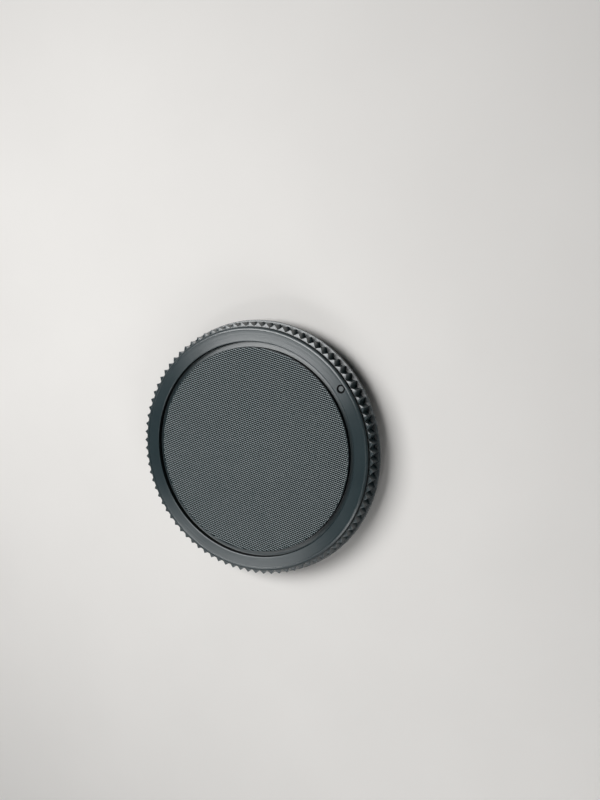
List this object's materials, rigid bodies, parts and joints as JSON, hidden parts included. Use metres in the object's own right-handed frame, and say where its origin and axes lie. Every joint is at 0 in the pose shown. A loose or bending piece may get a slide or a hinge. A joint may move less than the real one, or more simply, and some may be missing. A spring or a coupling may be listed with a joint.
{
  "type": "camera body cap",
  "caption": "Round black plastic body cap with a textured disc, a smooth ring, a toothed grip rim and a bayonet collar behind.",
  "frame": {"origin": "on the cap's axis, at the level of the bayonet collar's free edge, which the cap rests on", "axes": "+Z along the cap's axis, out of its front face; +X towards the picture's right and +Y towards its top"},
  "size_m": [0.0678, 0.0678, 0.0099],
  "materials": {
    "moulded_plastic": "satin"
  },
  "bodies": {
    "root": {"body_cap": "moulded_plastic"}
  },
  "joints": []
}
